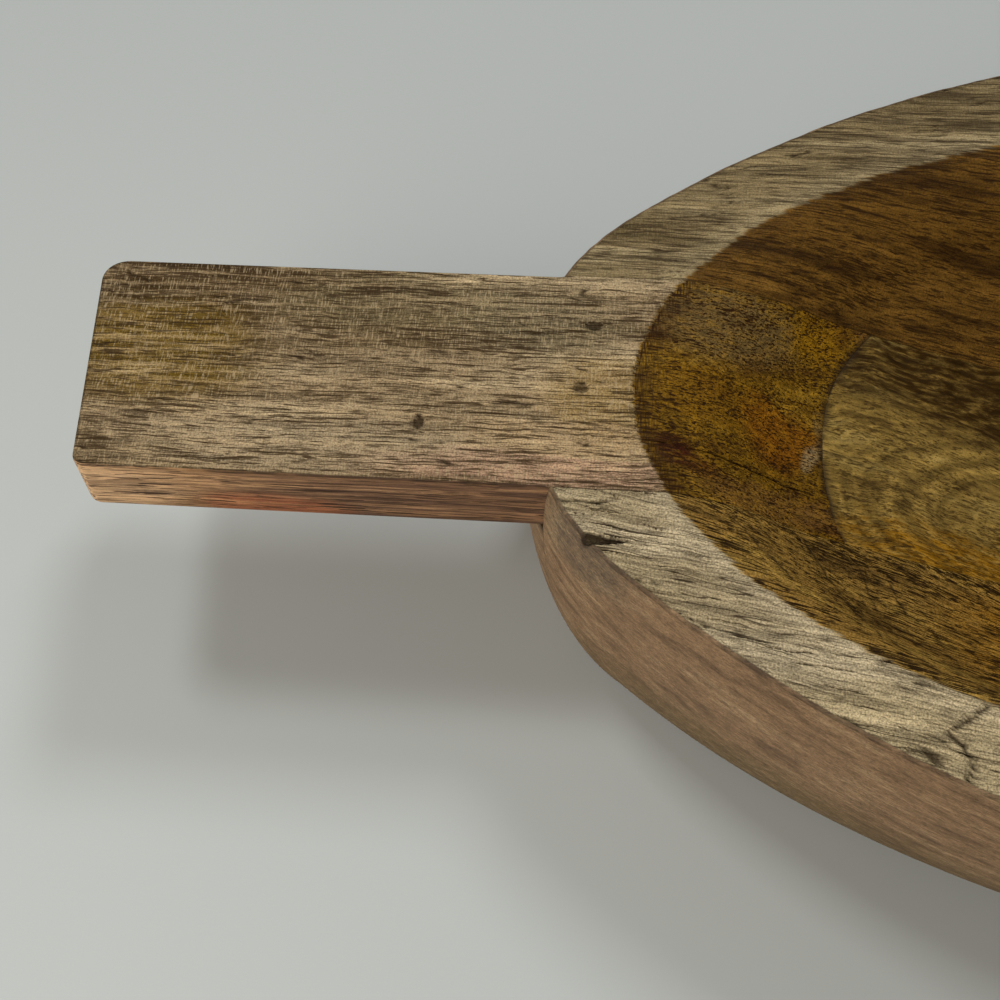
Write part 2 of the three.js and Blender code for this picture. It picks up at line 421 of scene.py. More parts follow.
back_block = shell.copy()
cut(back_block, (0, SIDE_PLANE, 0), (0, -1, 0))
front_block = shell.copy()
cut(front_block, (0, -SIDE_PLANE, 0), (0, 1, 0))

center_strip = shell.copy()
cut(center_strip, (0, BOARD_PLANE, 0), (0, 1, 0))
cut(center_strip, (0, -BOARD_PLANE, 0), (0, -1, 0))
center_block = center_strip.copy()
cut(center_block, (0, 0, BOARD_FLOOR - GLUE_LINE / 2), (0, 0, 1))
print("blocks:", len(back_block.faces), len(front_block.faces), len(center_block.faces), "faces")

# %% [markdown]
# ## Handle boards
# Each board lies in the bowl's end and runs out as the handle. The part in the bowl is cut from the carved
# skin, so that it meets the blocks exactly. Its open end is then pulled out in small steps to the handle's
# length. Over the last steps the points draw together along a quarter circle, which rounds the upright
# corners: the far one more than the near one. The lower edges are bevelled, as sandpaper leaves them, and
# the whole end leans a few degrees, because it was sawn off square by eye.

# %% Pull out the handles
SHOULDER = 167.0  # where the pulled-out part of the handle starts
FAR_CORNER = 5.4
NEAR_CORNER = 2.4
TOP_EASING = 0.5
EASING_RUN = 3.0  # the length in which that easing grows from nothing at the bowl
UNDER_EASING = 2.2
UNDER_SEGMENTS = 5
CORNER_STEPS = 9
STEP_LENGTH = 0.8
END_ROUNDING = 3.2
END_CUTS = (0.25, 0.5, 0.75, 1.0)
END_SKEW = 0.09
SKEW_MIDDLE = 1.7
SKEW_RUN = 40.0
SLACK = 0.01  # how exactly two places have to agree
SHARP_TURN = 1.0  # the least angle, in radians, of an edge that is bevelled
FACES_UP = 0.5


def corner_of(lane):
    return FAR_CORNER if lane > 0 else NEAR_CORNER


def half_width(lane, gap):
    """Half the handle's width at a gap from its end, on the side that a point's lane is on."""
    corner = corner_of(lane)
    if gap >= corner:
        return BOARD_PLANE
    return BOARD_PLANE - corner + math.sqrt(corner**2 - (corner - gap) ** 2)


def edge_gap(lane, y, gap):
    """How far a point of the top lies from the handle's rounded outline."""
    corner = corner_of(lane)
    side_gap = BOARD_PLANE - abs(y)
    if gap < corner and side_gap < corner:
        return max(corner - math.hypot(corner - gap, corner - side_gap), 0.0)
    return min(gap, side_gap)


def handle_gaps():
    straight = HANDLE_END - SHOULDER - FAR_CORNER
    count = round(straight / STEP_LENGTH)
    for step in range(1, count + 1):
        yield HANDLE_END - SHOULDER - straight * step / count
    for step in range(1, CORNER_STEPS + 1):
        yield FAR_CORNER * (1 - math.sin(step / CORNER_STEPS * math.pi / 2))


def ease_top(board):
    """Round the handle's upper edge over and mark the points that lie on its flat top."""
    rim, lane = board.verts.layers.float["rim"], board.verts.layers.float["lane"]
    for point in board.verts:
        if abs(point.co.x) <= SHOULDER + SLACK or point.co.z < BOWL_HEIGHT - SLACK:
            continue
        gap = HANDLE_END - abs(point.co.x)
        easing = TOP_EASING * smooth(SHOULDER, SHOULDER + EASING_RUN, abs(point.co.x))
        inside = min(edge_gap(point[lane], point.co.y, gap), easing)
        point.co.z -= easing - math.sqrt(max(easing**2 - (easing - inside) ** 2, 0.0))
        point[rim] = MID_RIM if inside >= easing else OFF_RIM


def slice_at(board, height):
    """Cut a row of points into a board, so that its faces can bend there."""
    everything = board.verts[:] + board.edges[:] + board.faces[:]
    bmesh.ops.bisect_plane(board, geom=everything, plane_co=(0, 0, height), plane_no=(0, 0, 1))


def round_end(board):
    """Round the lower edge of the handle's end, as seen from the side."""
    for share in END_CUTS:
        slice_at(board, BOARD_FLOOR + GLUE_LINE / 2 + END_ROUNDING * share)
    for point in board.verts:
        back = END_ROUNDING - (HANDLE_END - abs(point.co.x))
        down = END_ROUNDING - (point.co.z - BOARD_FLOOR - GLUE_LINE / 2)
        away = math.hypot(back, down)
        if back > 0 and down > 0 and away > END_ROUNDING:
            pull = 1 - END_ROUNDING / away
            point.co.x -= math.copysign(back * pull, point.co.x)
            point.co.z += down * pull


def handle_board(side):
    board = center_strip.copy()
    lane = board.verts.layers.float["lane"]
    cut(board, (0, 0, BOARD_FLOOR + GLUE_LINE / 2), (0, 0, -1))
    cut(board, (0, 0, 0), (-side, 0, 0), close=False)
    edges = cut(board, (side * SHOULDER, 0, 0), (side, 0, 0), close=False)
    for point in {v for e in edges for v in e.verts}:
        point[lane] = point.co.y
    for gap in handle_gaps():
        made = bmesh.ops.extrude_edge_only(board, edges=edges)["geom"]
        edges = only(bmesh.types.BMEdge, made)
        for point in only(bmesh.types.BMVert, made):
            width = half_width(point[lane], gap)
            point.co.x = side * (HANDLE_END - gap)
            point.co.y = point[lane] * width / BOARD_PLANE
    bmesh.ops.contextual_create(board, geom=edges)
    bmesh.ops.recalc_face_normals(board, faces=board.faces)
    board.normal_update()
    under = [
        e for e in board.edges
        if all(v.co.z < BOARD_FLOOR + GLUE_LINE and abs(v.co.x) > SHOULDER - SLACK for v in e.verts)
        and len(e.link_faces) == 2 and e.calc_face_angle(0.0) > SHARP_TURN
    ]
    bmesh.ops.bevel(
        board, geom=under, offset=UNDER_EASING, offset_type="OFFSET", segments=UNDER_SEGMENTS,
        profile=0.5, affect="EDGES", material=-1,
    )
    ease_top(board)
    # A row of points where the painted shade along the handle's top edge ends.
    slice_at(board, BOWL_HEIGHT - TOP_EASING - EDGE_SHADE_BAND)
    round_end(board)
    for point in board.verts:
        run = smooth(HANDLE_END - SKEW_RUN, HANDLE_END, abs(point.co.x))
        point.co.x += side * END_SKEW * run * (point.co.y - SKEW_MIDDLE)
    board.normal_update()
    for face in board.faces:
        if abs(face.calc_center_median().x) > SHOULDER:
            face.material_index = CARVED if face.normal.z > FACES_UP else OUTSIDE
    return board


left_board = handle_board(-1)
right_board = handle_board(1)
print("boards:", len(left_board.faces), len(right_board.faces), "faces")

# %% [markdown]
# ## Thin dark lines
# Glue lines and fine cracks are thinner than the faces of the skin. So each one is cut into the faces that
# it crosses as three close rows of points, and only the middle row is darkened and pressed in. The long
# lines that stand out in the photograph have their own places: four veins in the front of the hollow and
# five lines in the left board. The short cracks near the front rim's edge are many and alike, so a rule
# makes them. A glue seam runs along the whole edge of a block.

# %% Places of the thin dark lines
VEINS = (  # from, to, half width, strength, depth
    ((-137.0, -26.0), (-124.0, -41.0), 0.5, 1.0, 0.0),
    ((-122.0, -26.0), (-109.4, -51.0), 0.5, 1.0, 0.0),
    ((-111.0, -30.0), (-108.4, -41.6), 0.45, 0.9, 0.0),
    ((-106.0, -30.0), (-102.5, -40.6), 0.45, 0.9, 0.0),
)
BOARD_LINES = (
    ((-171.0, -13.1), (-145.0, -13.6), 0.40, 1.0, 0.35),
    ((-145.5, -13.6), (-119.0, -15.4), 0.45, 1.0, 0.4),
    ((-150.0, -20.0), (-112.0, -21.6), 0.45, 0.9, 0.2),
    ((-146.0, -17.6), (-128.0, -19.4), 0.30, 0.7, 0.2),
    ((-153.0, 3.4), (-132.0, 5.2), 0.30, 0.7, 0.2),
)
CRACK_COUNT = 26
FIRST_CRACK = math.radians(217)
LAST_CRACK = math.radians(252)
CRACK_START = 9.0  # the furthest that a crack starts from the outer edge
CRACK_LENGTH = 9.0
CRACK_HALF = 0.26
FRONT_LEAN = math.radians(-9)  # the grain of the front rim
LUCK_STEP = 0.37  # from crack to crack through the noise that makes them differ
LENGTH_LUCK = 0.8
LEAN_LUCK = 0.12
WIDTH_LUCK = 0.4
BACK = Vector((0.0, 1.0, 0.0))
UP = Vector((0.0, 0.0, 1.0))


def rim_cracks():
    """Cracks that start near the front rim's outer edge and lean with its grain."""
    for step in range(CRACK_COUNT):
        facing = FIRST_CRACK + (LAST_CRACK - FIRST_CRACK) * step / (CRACK_COUNT - 1)
        luck = Vector((step * LUCK_STEP, 0.0, 0.0))
        inward = (0.5 + 0.5 * noise.noise(luck)) * CRACK_START
        start = wall_spot(facing, 0.0, 0.0, 0.0) + inward * BACK
        length = CRACK_LENGTH * (1 + LENGTH_LUCK * noise.noise(luck + UP))
        lean = FRONT_LEAN + LEAN_LUCK * noise.noise(luck + 2 * UP)
        end = start + length * Vector((math.cos(lean), math.sin(lean), 0.0))
        width = CRACK_HALF * (1 + WIDTH_LUCK * noise.noise(luck + 3 * UP))
        yield start.xy, end.xy, width, 1.0, width


FRONT_LINES = VEINS + tuple(rim_cracks())
print("lines in the front block:", len(FRONT_LINES), "and in the left board:", len(BOARD_LINES))

# %% Draw the thin dark lines
SEAM_WIDTH = 0.35
JOINT_WIDTH = 0.60
WAVER = 0.5
LINE_WAVE = 3.0  # the length in which a line wavers and fades
FAINTEST = 0.6  # what is left of a line where it is faint
FAINT_EDGES = (-0.35, 0.15)
LINE_REACH = 3.0  # how many half widths beside a line the points waver with it
NEAR = 5.0
FADE = 2.0
EAST = Vector((1.0, 0.0, 0.0))


def near_faces(block, start, reach, along, across):
    for face in block.faces:
        arm = face.verts[0].co - start
        beside = abs(arm.dot(across)) < NEAR and -NEAR < arm.dot(along) < reach + NEAR
        if beside and face.material_index == CARVED:
            yield face


def score(block, start, end, across, width, strength, depth=0.0, waver=0.0):
    """Draw a thin dark line where a plane meets the carved faces, and press it in a little."""
    marks_and_edge_shade = block.verts.layers.float["marks_and_edge_shade"]
    reach = (end - start).length
    along = (end - start).normalized()
    faces = list(near_faces(block, start, reach, along, across))
    pieces = faces + list({e for f in faces for e in f.edges}) + list({v for f in faces for v in f.verts})
    for offset in (-width, 0.0, width):
        pieces = bmesh.ops.bisect_plane(
            block, geom=pieces, plane_co=start + offset * across, plane_no=across, dist=SNAP
        )["geom"]
    for point in only(bmesh.types.BMVert, pieces):
        away = (point.co - start).dot(across)
        ahead = (point.co - start).dot(along)
        if abs(away) > LINE_REACH * width or not 0 <= ahead <= reach:
            continue
        fade = smooth(0.0, FADE, ahead) * smooth(0.0, FADE, reach - ahead)
        patchy = FAINTEST + (1 - FAINTEST) * smooth(*FAINT_EDGES, noise.noise(point.co / LINE_WAVE))
        if abs(away) < SLACK:
            point[marks_and_edge_shade] = max(point[marks_and_edge_shade], strength * fade * patchy)
            point.co.z -= depth * fade * patchy
        point.co += across * waver * fade * noise.noise(Vector((ahead / LINE_WAVE, start.y, 0.5)))


def score_lines(block, lines):
    for start, end, width, strength, depth in lines:
        start, end = Vector((*start, 0.0)), Vector((*end, 0.0))
        across = UP.cross(end - start).normalized()
        score(block, start, end, across, width, strength, depth, WAVER)


def score_seam(block, spot, across, width, strength):
    """Darken the edge along which a block is glued to its neighbour."""
    half = EAST * BOWL_LENGTH / 2
    score(block, spot - half, spot + half, across, width, strength)


score_lines(front_block, FRONT_LINES)
score_lines(left_board, BOARD_LINES)
score_seam(front_block, -SIDE_PLANE * BACK, BACK, SEAM_WIDTH, strength=0.75)
score_seam(back_block, SIDE_PLANE * BACK, BACK, SEAM_WIDTH, strength=0.5)
score_seam(center_block, (BOARD_FLOOR - GLUE_LINE / 2) * UP, UP, JOINT_WIDTH, strength=0.9)
for board in (left_board, right_board):
    score_seam(board, (BOARD_FLOOR + GLUE_LINE / 2) * UP, UP, JOINT_WIDTH, strength=0.9)
print("front block:", len(front_block.faces), "faces with its lines")

# %% [markdown]
# ## Torn grain and knots
# The flat top was scraped with a wire brush, which opens thin wavy tears along the grain, most of all on the
# front rim. They are real dents, so the points of the top are pushed down along thin lines of a stretched
# noise. How deep each point went is stored on it, and the wood's material is darker there. A thin band of
# painted shade along the outer edges is stored the same way. Three small knots lie in the left board, and
# the front rim has one deep split at its edge and one crooked crack right across it.

# %% Dents in the top
KNOTS = (  # middle, half size along and across the grain, depth
    (-162.3, 12.6, 2.2, 1.2, 0.45),
    (-164.1, -2.3, 1.7, 1.6, 0.40),
    (-194.2, -11.8, 1.2, 1.8, 0.60),
)
SPLIT_START = (-163.2, -35.4)
SPLIT_LENGTH = 10.5
SPLIT_WIDTH = 1.7
SPLIT_DEPTH = 3.0
SPLIT_RISE = -0.05
SPLIT_RAGS = (0.45, 1.2)  # reach and size of its ragged sides
SPLIT_TIP = 0.05
KNOT_RAGS = 0.3
KNOT_EDGES = (1.1, 0.6)
ZIGZAG = ((-92.0, -62.4), (-98.8, -67.6), (-100.8, -68.9), (-98.4, -70.9), (-96.9, -74.1), (-98.4, -77.5))
ZIGZAG_WIDTH = 0.7
ZIGZAG_CORE = 0.15
ZIGZAG_DEPTH = 0.5
ZIGZAG_SHAKE = 0.4
TEAR_SIZE = (15.0, 2.3)  # along the grain and from tear to tear
TEAR_WIDTH = 0.09
TEAR_SWING = 0.9  # how far slow waves push a tear aside, and quick ones
TEAR_SHIVER = 0.25
SWING_SIZE = (9.0, 5.0)
SHIVER_SIZE = (1.7, 1.0)
PATCH_SIZE = (11.0, 4.5)
PATCH_EDGES = (0.25, 0.5)


def tears(x, y, lean, coverage, seed):
    along = x * math.cos(lean) + y * math.sin(lean)
    across = y * math.cos(lean) - x * math.sin(lean)
    swing = TEAR_SWING * flat_noise(x, y, SWING_SIZE, seed)
    across += swing + TEAR_SHIVER * flat_noise(x, y, SHIVER_SIZE, seed)
    line = abs(flat_noise(along, across, TEAR_SIZE, seed + 2))
    low, high = PATCH_EDGES
    patch = smooth(low - coverage, high - coverage, flat_noise(x, y, PATCH_SIZE, seed + 1))
    return smooth(TEAR_WIDTH, 0.0, line) * patch


def knot(x, y):
    deepest = 0.0
    for middle_x, middle_y, half_x, half_y, depth in KNOTS:
        away = math.hypot((x - middle_x) / half_x, (y - middle_y) / half_y)
        away += KNOT_RAGS * noise.noise(Vector((x, y, middle_x)))
        deepest = max(deepest, depth * smooth(*KNOT_EDGES, away))
    return deepest


def rim_split(x, y):
    along = x - SPLIT_START[0]
    if not 0 <= along <= SPLIT_LENGTH:
        return 0.0
    reach, size = SPLIT_RAGS
    ragged = reach * flat_noise(x, y, (size, size), 3.0)
    across = y - SPLIT_START[1] - SPLIT_RISE * along + ragged
    left = 1 - along / SPLIT_LENGTH
    return SPLIT_DEPTH * left * max(1 - abs(across) / (SPLIT_WIDTH * left + SPLIT_TIP), 0.0)


def zigzag(x, y):
    shake = Vector((noise.noise(Vector((x, y, 1.0))), noise.noise(Vector((x, y, 8.0)))))
    spot = Vector((x, y)) + ZIGZAG_SHAKE * shake
    nearest = ZIGZAG_WIDTH
    for start, end in zip(ZIGZAG, ZIGZAG[1:]):
        run = Vector(end) - Vector(start)
        share = min(max((spot - Vector(start)).dot(run) / run.length_squared, 0.0), 1.0)
        nearest = min(nearest, (spot - Vector(start) - run * share).length)
    return ZIGZAG_DEPTH * smooth(ZIGZAG_WIDTH, ZIGZAG_CORE, nearest)


print("marks:", len(KNOTS), "knots, a split of", SPLIT_LENGTH, "mm and a crack of", len(ZIGZAG) - 1, "runs")

# %% Brush the tops
# Painted shade: a thin dark band along the outer edge of every top, patchy along its length.
EDGE_SHADE = 0.65
EDGE_SHADE_LEAST = 0.35  # what is left of the painted edge shade where it is patchy
EDGE_SHADE_PATCH_SIZE = (4.0, 4.0)
EDGE_SHADE_PATCH_EDGES = (-0.4, 0.1)
EDGE_STEP = 0.12
SHADED_RIM = 0.022  # share of the rim's width that the painted edge shade takes
TORN_RIM = 0.16  # share of the rim's width that is torn more
TORN_MORE = 0.25
MARK_DARK = 2.0  # how dark a mark is for each millimetre of its depth


def smooth_down(low, high, value):
    return 1 - smooth(low, high, value)


def brush_top(block, lean, coverage, depth, seed, marks):
    """Push tears and marks into the top, paint shade along its edge and return the deepest dent."""
    rim, marks_and_edge_shade = block.verts.layers.float["rim"], block.verts.layers.float["marks_and_edge_shade"]
    deepest = 0.0
    for point in block.verts:
        x, y, z = point.co
        if z < BOWL_HEIGHT - SPLIT_DEPTH or point[rim] > 1.0:
            continue
        # Painted shade along the outer edge and the chamfer below it, patchy along its length.
        edge_shade_patches = EDGE_SHADE_LEAST + (1 - EDGE_SHADE_LEAST) * smooth(*EDGE_SHADE_PATCH_EDGES, flat_noise(x, y, EDGE_SHADE_PATCH_SIZE, seed))
        if 0.0 <= point[rim]:
            edge = smooth_down(0.0, TORN_RIM, point[rim])
            dent = tears(x, y, lean, coverage + TORN_MORE * edge, seed)
            drop = depth * dent
            for mark in marks:
                drop = max(drop, mark(x, y))
                dent = max(dent, min(MARK_DARK * mark(x, y), 1.0))
            point[marks_and_edge_shade] = max(point[marks_and_edge_shade], dent, EDGE_SHADE * edge_shade_patches * smooth_down(0.0, SHADED_RIM, point[rim]))
            point.co.z -= drop
            deepest = max(deepest, drop)
        elif z > BOWL_HEIGHT - RIM_EASING - EDGE_SHADE_BAND + EDGE_STEP:
            point[marks_and_edge_shade] = max(point[marks_and_edge_shade], EDGE_SHADE * edge_shade_patches)
        if rim_split in marks and z > BOWL_HEIGHT - SPLIT_DEPTH and point[rim] < 0.0:
            floor_here = BOWL_HEIGHT - rim_split(x, y)
            point[marks_and_edge_shade] = max(point[marks_and_edge_shade], min(z - floor_here, 1.0) if z > floor_here else 0.0)
            point.co.z = min(z, floor_here)
    return round(deepest, 2)


for name, block, lean, coverage, depth, seed, marks in (
    ("front", front_block, FRONT_LEAN, 0.18, 0.35, 11.0, (rim_split, zigzag)),
    ("back", back_block, 0.0, 0.05, 0.20, 23.0, ()),
    ("left", left_board, 0.0, 0.10, 0.20, 37.0, (knot,)),
    ("right", right_board, 0.0, 0.10, 0.20, 53.0, ()),
):
    print(name, "top, deepest dent:", brush_top(block, lean, coverage, depth, seed, marks), "mm")

# %% [markdown]
# ## The wood
# Mango wood is a brown hardwood with open pores that show as short dark ticks along the grain, and as dots
# where a slope cuts across it. A solid pattern does both at once: it is drawn in space, stretched along the
# grain, and each face shows its own slice of it. Growth rings are drawn in space too, by the distance from
# the heart of the trunk, so that the hollow cuts them to arcs. Each layer is one noise with a real size.

# %% Layers of the wood
GRAIN_LAYERS = {  # size along the grain and across it in mm, and how much finer detail it carries
    "streak": (60.0, 7.0, 4.0),
    "band": (20.0, 0.9, 3.0),
    "lens": (24.0, 1.9, 2.0),
    "cluster": (24.0, 4.5, 2.0),
    "vessel": (10.0, 0.42, 1.0),
    "pore": (3.8, 0.30, 1.0),
    "check": (32.0, 1.9, 1.5),
}
GRAIN_ROUGHNESS = 0.58
CLUSTERS = 0.2  # how much pores and vessels gather
SWAY_SIZE = 26.0
SHAKE_SIZE = 2.2
SHAKE_REACH = 0.22
RAY_SIZE = (0.30, 2.4, 2.4)  # the brush's scratches across the grain
GRIT_SIZE = 0.36  # the real nap is finer, and this is as coarse as it needs to show
RING_SIZE = 1.7
RING_SWAY = 3.0
HALF = 0.5  # the middle of what a noise gives


def grain_layers(tree, spot, look):
    """The noises that the wood is made of, and the slow drift that bends them."""
    drifts = []
    for size in (SWAY_SIZE, SHAKE_SIZE):
        drift = add(tree, "TexNoise", {"Vector": spot, "Scale": 1 / size, "Detail": 2.0}, out="Color")
        drifts.append(add(tree, "VectorMath", {0: drift, 1: (HALF, HALF, HALF)}, operation="SUBTRACT"))
    bent = spot
    for drift, reach in zip(drifts, (look["sway"], SHAKE_REACH)):
        bent = add(tree, "VectorMath", {0: drift, 1: (0, reach, reach), 2: bent}, operation="MULTIPLY_ADD")
    lean = (0, 0, math.radians(look["lean"]))
    grain = add(tree, "Mapping", {"Vector": bent, "Location": look["shift"], "Rotation": lean})
    layer = {}
    for key, (along, across, detail) in GRAIN_LAYERS.items():
        scale = (1 / along / look["stretch"], 1 / across, 1 / across / look["deep"])
        space = add(tree, "Mapping", {"Vector": grain, "Scale": scale})
        layer[key] = add(
            tree, "TexNoise",
            {"Vector": space, "Scale": 1.0, "Detail": detail, "Roughness": GRAIN_ROUGHNESS},
        )
    for key in ("pore", "vessel"):
        layer[key] = add(
            tree, "Math", {0: layer["cluster"], 1: CLUSTERS, 2: layer[key]}, operation="MULTIPLY_ADD"
        )
    off_line = add(tree, "Math", {0: layer["check"], 1: HALF}, operation="SUBTRACT")
    layer["check"] = add(tree, "Math", {0: off_line}, operation="ABSOLUTE")
    return layer, drifts[0]


print("layers of the grain:", sorted(GRAIN_LAYERS))

# %% Scratches, grit and growth rings


def add_brushing(tree, spot, layer):
    scale = tuple(1 / size for size in RAY_SIZE)
    space = add(tree, "Mapping", {"Vector": spot, "Scale": scale})
    layer["ray"] = add(tree, "TexNoise", {"Vector": space, "Scale": 1.0, "Detail": 1.0})
    layer["grit"] = add(tree, "TexNoise", {"Vector": spot, "Scale": 1 / GRIT_SIZE, "Detail": 2.0})


def add_rings(tree, spot, drift, layer, heart):
    swayed = add(
        tree, "VectorMath", {0: drift, 1: (0, RING_SWAY, RING_SWAY), 2: spot}, operation="MULTIPLY_ADD"
    )
    from_heart = add(
        tree, "VectorMath", {0: swayed, 1: (0, 1, 1), 2: (0, -heart[0], -heart[1])},
        operation="MULTIPLY_ADD",
    )
    radius = add(tree, "VectorMath", {0: from_heart}, operation="LENGTH", out="Value")
    layer["ring"] = add(
        tree, "TexNoise", {"W": radius, "Scale": 1 / RING_SIZE, "Detail": 2.0}, noise_dimensions="1D"
    )


print("growth rings:", RING_SIZE, "mm wide")

# %% [markdown]
# A layer shows only where its noise is high or low enough, so each one is turned to a mask. Oil is painted
# into the hollow with a rag and soaks a little way out along the grain, so the edge between oiled and dry
# wood is frayed by the grain itself. Damp stained this wood before it was dried, so each block has patches
# of its own colour, which are frayed in the same way.

# %% Masks, oil and stains
PORE_MIDDLE = HALF + CLUSTERS / 2
OIL_FRAY = 0.4
GRAIN_FRAY = 1.0
OIL_EDGES = (0.30, 0.60)
STAIN_FRAY = (18.0, 6.0, 6.0)
STAIN_EDGE = 0.55
STAIN_LEAST = 0.5  # what is left of a stain in the hardest streaks of the grain
SOAK_EDGES = (0.62, 0.42)


def grain_masks(tree, layer, look):
    mask = {}
    for key, source, low, high, most in (  # where in its layer a mask starts, is full, and how strong it is
        ("pale", "streak", 0.50, 0.68, 1.0),
        ("dark", "streak", 0.48, 0.32, 1.0),
        ("pore", "pore", PORE_MIDDLE + 0.04, PORE_MIDDLE + 0.15, look["pores"]),
        ("vessel", "vessel", PORE_MIDDLE + 0.08, PORE_MIDDLE + 0.14, look["vessels"]),
        ("lens", "lens", 0.52, 0.66, look["lenses"]),
        ("check", "check", 0.020, 0.005, look["checks"]),
        ("patch", "cluster", 0.46, 0.58, 1.0),
        ("ray", "ray", 0.52, 0.68, look["rays"]),
    ):
        mask[key] = add(
            tree, "MapRange", {0: layer[source], 1: low, 2: high, 3: 0.0, 4: most},
            interpolation_type="SMOOTHSTEP",
        )
    mask["check"] = add(tree, "Math", {0: mask["check"], 1: mask["patch"]}, operation="MULTIPLY")
    return mask


def oil_share(tree, layer):
    oil = add(tree, "Attribute", attribute_name="oil", out="Fac")
    for key, fray in (("grit", OIL_FRAY), ("band", GRAIN_FRAY)):
        oil = add(tree, "Math", {0: layer[key], 1: fray, 2: oil}, operation="MULTIPLY_ADD")
    low, high = ((OIL_FRAY + GRAIN_FRAY) / 2 + edge for edge in OIL_EDGES)
    return add(tree, "MapRange", {0: oil, 1: low, 2: high}, interpolation_type="SMOOTHSTEP")


def lay_stains(tree, color, spot, drift, layer, look, shares):
    """Mix each stain into the colour. Shares says how much the dry and the oiled ones show at a spot."""
    frayed = add(tree, "VectorMath", {0: drift, 1: STAIN_FRAY, 2: spot}, operation="MULTIPLY_ADD")
    for key in ("streak", "lens", "band"):
        aside = add(tree, "Math", {0: layer[key], 1: HALF}, operation="SUBTRACT")
        frayed = add(
            tree, "VectorMath", {0: aside, 1: (0.0, look["stain_streak"], 0.0), 2: frayed},
            operation="MULTIPLY_ADD",
        )
    low, high = SOAK_EDGES
    soaked = add(tree, "MapRange", {0: layer["band"], 1: low, 2: high, 3: STAIN_LEAST, 4: 1.0})
    for key, finish in shares.items():
        for center, reach, tone, most in look[key]:
            middle = tuple(-c / r for c, r in zip(center, reach))
            scale = tuple(1 / r for r in reach)
            patch = add(tree, "Mapping", {"Vector": frayed, "Location": middle, "Scale": scale})
            ball = add(tree, "TexGradient", {"Vector": patch}, gradient_type="SPHERICAL", out=1)
            amount = add(
                tree, "MapRange", {0: ball, 1: 0.0, 2: STAIN_EDGE, 3: 0.0, 4: most},
                interpolation_type="SMOOTHSTEP",
            )
            for share in (finish, soaked):
                amount = add(tree, "Math", {0: amount, 1: share}, operation="MULTIPLY")
            color = add(tree, "Mix", {0: amount, 6: color, 7: linear(tone)}, data_type="RGBA", out=2)
    return color


print("a stain is full at", STAIN_EDGE, "of the way to its middle")

# %% [markdown]
# The same timber looks different by its finish: dry and greyish where it is brushed, dark and warm where it
# is oiled, and smooth where it is sanded. One function puts the layers together. It mixes the tones of the
# wood first with a painted highlight near the mouth, then the stains, then the fine light and dark of the
# grain, and last the pores, the cracks, and the painted shade under the lip and along the edges.

# %% One timber
PLAIN_WOOD = {  # how each layer shows, unless a finish says otherwise
    "shift": (0, 0, 0),  # which part of the trunk, in mm
    "lean": 0.0,  # degrees that the grain leans
    "sway": 2.0,  # mm that it bends
    "stretch": 1.0,  # how much longer its pattern is, and how much deeper
    "deep": 1.0,
    "heart": (-12.0, -10.0),  # y and z of the trunk's heart, in mm
    "rings": 0.08,
    "bands": 0.2,
    "grit": 0.15,
    "pores": 0.7,
    "vessels": 0.6,
    "lenses": 0.0,
    "checks": 0.0,
    "rays": 0.0,
    "oiled_ticks": 1.0,  # how much more the pores show in oiled wood
    "pale_lip": 0.0,  # how much paler the dry rim is near the mouth: a painted highlight
    # how dark the painted shade just under the lip is
    "lip_dark": 0.25,
    "stains": (),
    "oiled_stains": (),
    "stain_streak": 12.0,
    "roughness": 0.8,
    "gloss": 0.05,
    "relief": 0.5,
}
OILED_ROUGHNESS = 0.5
# where across the rim the painted highlight lies
LIP_HIGHLIGHT_BAND = (0.62, 0.95)
SHADE_EDGES = (0.3, 0.7)
WEAVE_EDGES = (0.35, 0.65)
WEAVE_LEAST = 0.2
# The dark marks and the painted shade along the edges share one tone.
MARK_AND_EDGE_SHADE_TONE = "#2A1E10"
MARK_AND_EDGE_SHADE_DARK = 0.9
RELIEF_DEPTH = 0.25 * MM


